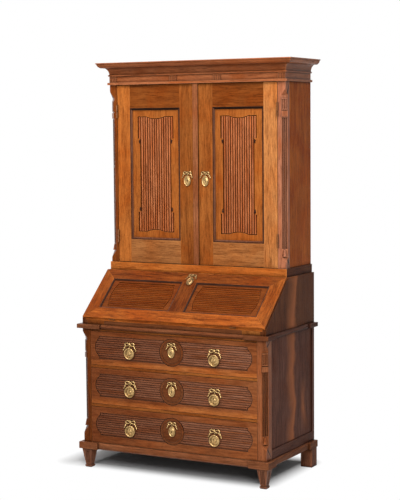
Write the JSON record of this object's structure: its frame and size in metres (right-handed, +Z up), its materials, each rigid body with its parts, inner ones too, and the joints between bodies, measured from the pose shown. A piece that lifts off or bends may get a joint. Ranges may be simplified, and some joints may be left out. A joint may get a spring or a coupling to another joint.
{
  "type": "escritoire",
  "caption": "Oak bureau cabinet: reeded drawers with ring pulls, a slant fall on sliding lopers over pigeonholes, and a two-door cupboard with a moulded cornice.",
  "frame": {"origin": "on the floor under the middle of the outline", "axes": "X across the front, the front faces -Y, Z up"},
  "size_m": [1.158, 0.605, 2.15],
  "materials": {
    "oak_golden": "waxed oak, golden brown",
    "oak_brown": "waxed oak, red brown",
    "oak_dark": "aged oak, dark brown",
    "oak_plain": "unpolished oak",
    "brass": "aged cast brass"
  },
  "bodies": {
    "cabinet": {"corner_post_right": "oak_dark", "corner_post_left": "oak_dark", "side_right": "oak_dark", "side_left": "oak_dark", "bottom_board": "oak_plain", "waist_board": "oak_plain", "lower_back": "oak_dark", "drawer_rails": "oak_plain", "base_moulding": "oak_brown", "waist_moulding": "oak_brown", "front_feet": "oak_brown", "back_feet": "oak_dark", "loper_rail": "oak_plain", "desk_top": "oak_brown", "desk_board": "oak_plain", "pigeonholes": "oak_plain", "plinth": "oak_brown", "upper_bottom": "oak_plain", "upper_side_right": "oak_dark", "upper_side_left": "oak_dark", "frieze": "oak_brown", "upper_top": "oak_plain", "cornice": "oak_brown", "upper_back": "oak_dark", "shelves": "oak_plain", "case_hinges": "brass", "upper_post_right": "oak_brown", "upper_post_left": "oak_brown"},
    "fall": {"fall_frame": "oak_golden", "fall_panels": "oak_golden", "fall_hinge_leaves": "brass", "fall_fittings": "brass"},
    "loper_left": {"loper_left": "oak_brown"},
    "door_left": {"door_left_frame": "oak_golden", "door_left_panel": "oak_golden", "door_left_fittings": "brass"},
    "loper_right": {"loper_right": "oak_brown"},
    "door_right": {"door_right_frame": "oak_golden", "door_right_panel": "oak_golden", "door_right_fittings": "brass"},
    "drawer_bottom": {"drawer_bottom_front": "oak_brown", "drawer_bottom_box": "oak_plain", "drawer_bottom_fittings": "brass"},
    "drawer_bottom_ring_left": {"drawer_bottom_ring_left": "brass"},
    "drawer_bottom_ring_right": {"drawer_bottom_ring_right": "brass"},
    "drawer_middle": {"drawer_middle_front": "oak_brown", "drawer_middle_box": "oak_plain", "drawer_middle_fittings": "brass"},
    "drawer_middle_ring_left": {"drawer_middle_ring_left": "brass"},
    "drawer_middle_ring_right": {"drawer_middle_ring_right": "brass"},
    "drawer_top": {"drawer_top_front": "oak_brown", "drawer_top_box": "oak_plain", "drawer_top_fittings": "brass"},
    "drawer_top_ring_left": {"drawer_top_ring_left": "brass"},
    "drawer_top_ring_right": {"drawer_top_ring_right": "brass"},
    "small_drawer_left": {"small_drawer_left": "oak_plain"},
    "small_drawer_centre": {"small_drawer_centre": "oak_plain"},
    "small_drawer_right": {"small_drawer_right": "oak_plain"}
  },
  "joints": [
    {"name": "fall_hinge", "type": "hinge", "parent": "cabinet", "child": "fall", "pos_m": [0, -0.28, 0.804], "axis": [1, 0, 0], "range_deg": [0, 138.4]},
    {"name": "door_left_hinge", "type": "hinge", "parent": "cabinet", "child": "door_left", "pos_m": [-0.4765, -0.00998, 1.08003], "axis": [0, 0, -1], "range_deg": [0, 110]},
    {"name": "loper_left_slide", "type": "slide", "parent": "cabinet", "child": "loper_left", "axis": [0, -1, 0], "range_m": [0, 0.28]},
    {"name": "door_right_hinge", "type": "hinge", "parent": "cabinet", "child": "door_right", "pos_m": [0.4765, -0.00998, 1.08003], "axis": [0, 0, 1], "range_deg": [0, 110]},
    {"name": "loper_right_slide", "type": "slide", "parent": "cabinet", "child": "loper_right", "axis": [0, -1, 0], "range_m": [0, 0.28]},
    {"name": "drawer_bottom_slide", "type": "slide", "parent": "cabinet", "child": "drawer_bottom", "axis": [0, -1, 0], "range_m": [0, 0.36]},
    {"name": "drawer_bottom_ring_left_swing", "type": "hinge", "parent": "drawer_bottom", "child": "drawer_bottom_ring_left", "pos_m": [-0.25, -0.2885, 0.2465], "axis": [-1, 0, 0], "range_deg": [0, 85]},
    {"name": "drawer_bottom_ring_right_swing", "type": "hinge", "parent": "drawer_bottom", "child": "drawer_bottom_ring_right", "pos_m": [0.25, -0.2885, 0.2465], "axis": [-1, 0, 0], "range_deg": [0, 85]},
    {"name": "drawer_middle_slide", "type": "slide", "parent": "cabinet", "child": "drawer_middle", "axis": [0, -1, 0], "range_m": [0, 0.36]},
    {"name": "drawer_middle_ring_left_swing", "type": "hinge", "parent": "drawer_middle", "child": "drawer_middle_ring_left", "pos_m": [-0.25, -0.2885, 0.455], "axis": [-1, 0, 0], "range_deg": [0, 85]},
    {"name": "drawer_middle_ring_right_swing", "type": "hinge", "parent": "drawer_middle", "child": "drawer_middle_ring_right", "pos_m": [0.25, -0.2885, 0.455], "axis": [-1, 0, 0], "range_deg": [0, 85]},
    {"name": "drawer_top_slide", "type": "slide", "parent": "cabinet", "child": "drawer_top", "axis": [0, -1, 0], "range_m": [0, 0.36]},
    {"name": "drawer_top_ring_left_swing", "type": "hinge", "parent": "drawer_top", "child": "drawer_top_ring_left", "pos_m": [-0.25, -0.2885, 0.657], "axis": [-1, 0, 0], "range_deg": [0, 85]},
    {"name": "drawer_top_ring_right_swing", "type": "hinge", "parent": "drawer_top", "child": "drawer_top_ring_right", "pos_m": [0.25, -0.2885, 0.657], "axis": [-1, 0, 0], "range_deg": [0, 85]},
    {"name": "small_drawer_left_slide", "type": "slide", "parent": "cabinet", "child": "small_drawer_left", "axis": [0, -1, 0], "range_m": [0, 0.15]},
    {"name": "small_drawer_centre_slide", "type": "slide", "parent": "cabinet", "child": "small_drawer_centre", "axis": [0, -1, 0], "range_m": [0, 0.15]},
    {"name": "small_drawer_right_slide", "type": "slide", "parent": "cabinet", "child": "small_drawer_right", "axis": [0, -1, 0], "range_m": [0, 0.15]}
  ]
}
